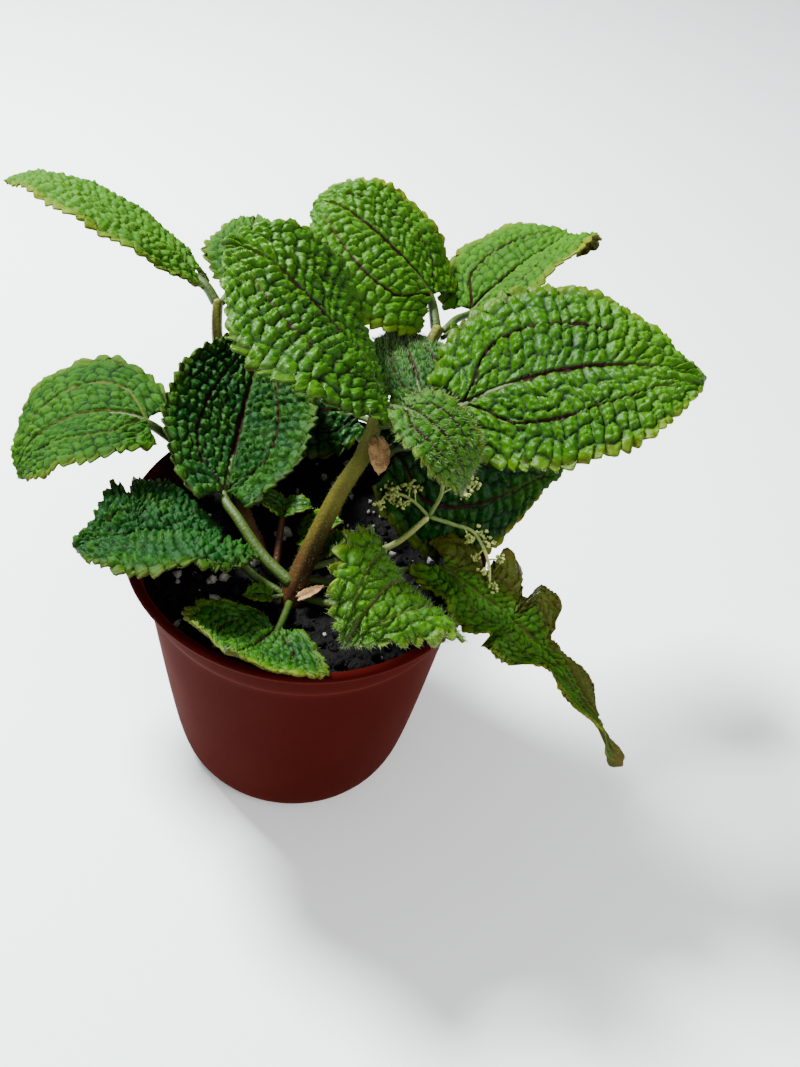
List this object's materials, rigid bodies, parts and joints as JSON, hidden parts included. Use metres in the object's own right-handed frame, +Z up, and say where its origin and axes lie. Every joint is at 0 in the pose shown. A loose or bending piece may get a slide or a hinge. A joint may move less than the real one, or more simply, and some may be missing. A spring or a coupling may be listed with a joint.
{
  "type": "potted friendship plant",
  "caption": "Friendship plant with deeply quilted, toothed, hairy leaves on arching stems and a forked flower stalk, growing in a round tapered nursery pot filled with potting mix.",
  "frame": {"origin": "centre of the pot's flat underside", "axes": "+Z up along the pot's axis; -Y is the side the plant is seen from, +X to its right"},
  "size_m": [0.2401, 0.1833, 0.1972],
  "materials": {
    "pot_plastic": "satin moulded plastic, brick red, with a slightly glossier rolled lip",
    "potting_mix": "rough dark moist peat with white mineral grains",
    "leaf": "deeply quilted and hairy, soft gloss on the domes, paler and matt below",
    "leaf_faded": "withered, olive and brown, torn at the margin",
    "stem": "fleshy satin with short hairs, brown-red at the foot and yellow-green above",
    "flower": "matt, pale yellow-green",
    "papery": "thin, dry and papery, tan to cream"
  },
  "bodies": {
    "root": {"pot": "pot_plastic", "potting_mix": "potting_mix", "stem_main": "stem", "stem_back_left": "stem", "stem_back_right": "stem", "leaf_right_large": "leaf", "leaf_front_large": "leaf", "leaf_left_middle": "leaf", "leaf_far_left": "leaf", "leaf_top_left": "leaf", "leaf_top_left_behind": "leaf", "leaf_top_middle": "leaf", "leaf_top_right": "leaf", "leaf_centre_back": "leaf", "leaf_centre_front": "leaf", "leaf_behind_left": "leaf", "leaf_behind_right": "leaf", "leaf_low_left": "leaf", "leaf_low_front": "leaf", "leaf_low_right": "leaf", "leaf_torn_right": "leaf_faded", "leaf_node_young": "leaf", "leaf_young_behind_stem": "leaf", "leaf_crown_small": "leaf", "leaf_crown_front": "leaf", "sprout_left": "stem", "flower_stalk": "flower", "scale_upper_node": "papery", "scale_crown": "papery"}
  },
  "joints": []
}
